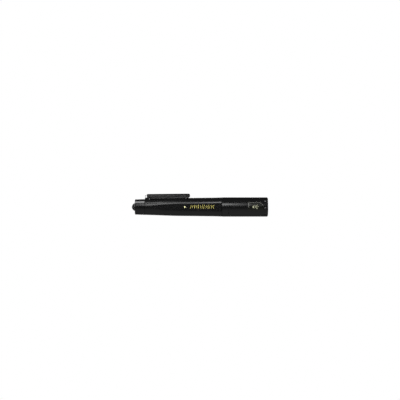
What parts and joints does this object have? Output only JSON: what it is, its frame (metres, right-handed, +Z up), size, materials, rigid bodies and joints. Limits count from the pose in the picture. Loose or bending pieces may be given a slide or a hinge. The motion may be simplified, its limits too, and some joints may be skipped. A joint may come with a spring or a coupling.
{
  "type": "penlight",
  "caption": "Slim black penlight with a tail push button, a sprung pocket clip, two long side flats and a round screw-on lamp head.",
  "frame": {"origin": "centre of the bounding box's bottom face, on the surface the head's side would touch", "axes": "+X along the pen from the button to the lamp, +Z up through the pocket clip, -Y out of the side flat that faces the viewer"},
  "size_m": [0.14, 0.0198, 0.0237],
  "materials": {
    "black_plastic": "satin black moulded nylon or ABS with a faint grain",
    "ring_plastic": "satin grey moulding",
    "button_plastic": "satin black",
    "seal_rubber": "matte black",
    "contact_brass": "bright rolled strip",
    "pin_steel": "ground",
    "spring_steel": "bright",
    "plate_aluminium": "turned",
    "inner_plastic": "natural",
    "cell_can": "bright",
    "cell_wrap": "printed shrink wrap, plain",
    "board": "green solder mask",
    "white_board": "white solder mask",
    "chip_plastic": "moulded",
    "emitter": "yellow phosphor under clear resin",
    "reflector_mirror": "vacuum plated",
    "lens_clear": "clear polished"
  },
  "bodies": {
    "barrel": {"barrel": "black_plastic", "tail_cap": "black_plastic", "tail_seal_ring": "seal_rubber", "neck_seal_ring": "seal_rubber", "return_strip": "contact_brass", "clip_pin": "pin_steel", "clip_spring": "spring_steel", "button_seal": "seal_rubber", "seal_washer": "plate_aluminium", "switch_housing": "inner_plastic", "return_terminal": "contact_brass", "battery_terminal": "contact_brass", "battery_spring": "spring_steel"},
    "button": {"button_cap": "button_plastic", "switch_plunger": "inner_plastic", "contact_bridge": "contact_brass", "plunger_spring": "spring_steel"},
    "cells": {"rear_cell": "cell_can", "rear_cell_wrap": "cell_wrap", "front_cell": "cell_can", "front_cell_wrap": "cell_wrap"},
    "head": {"head_shell": "black_plastic", "ring_contact": "contact_brass", "contact_carrier": "inner_plastic", "centre_contact": "contact_brass", "driver_board": "board", "board_components": "chip_plastic", "heat_sink": "plate_aluminium", "led_board": "white_board", "led_emitter": "emitter", "reflector": "reflector_mirror", "lens_window": "lens_clear", "lens_gasket": "seal_rubber", "lens_ring": "ring_plastic"},
    "clip": {"pocket_clip": "black_plastic"}
  },
  "joints": [
    {"name": "button_press", "type": "slide", "parent": "barrel", "child": "button", "axis": [1, 0, 0], "range_m": [0, 0.0015], "stiffness_N_per_m": 1000, "springref_m": -0.002, "deforming": ["plunger_spring"]},
    {"name": "cells_feed", "type": "slide", "parent": "barrel", "child": "cells", "axis": [1, 0, 0], "range_m": [0, 0.007], "deforming": ["battery_spring"]},
    {"name": "head_turn", "type": "hinge", "parent": "cells", "child": "head", "pos_m": [0.034, 0, 0.00995], "axis": [1, 0, 0], "range_deg": [0, 1440.5]},
    {"name": "clip_hinge", "type": "hinge", "parent": "barrel", "child": "clip", "pos_m": [-0.052, 0, 0.01815], "axis": [0, -1, 0], "range_deg": [0, 6.5], "stiffness_Nm_per_rad": 1.1, "springref_deg": -6.3, "deforming": ["clip_spring"]}
  ],
  "couplings": [
    {"joint": "head_turn", "follows": "cells_feed", "rad_per_m": 3590.4}
  ]
}
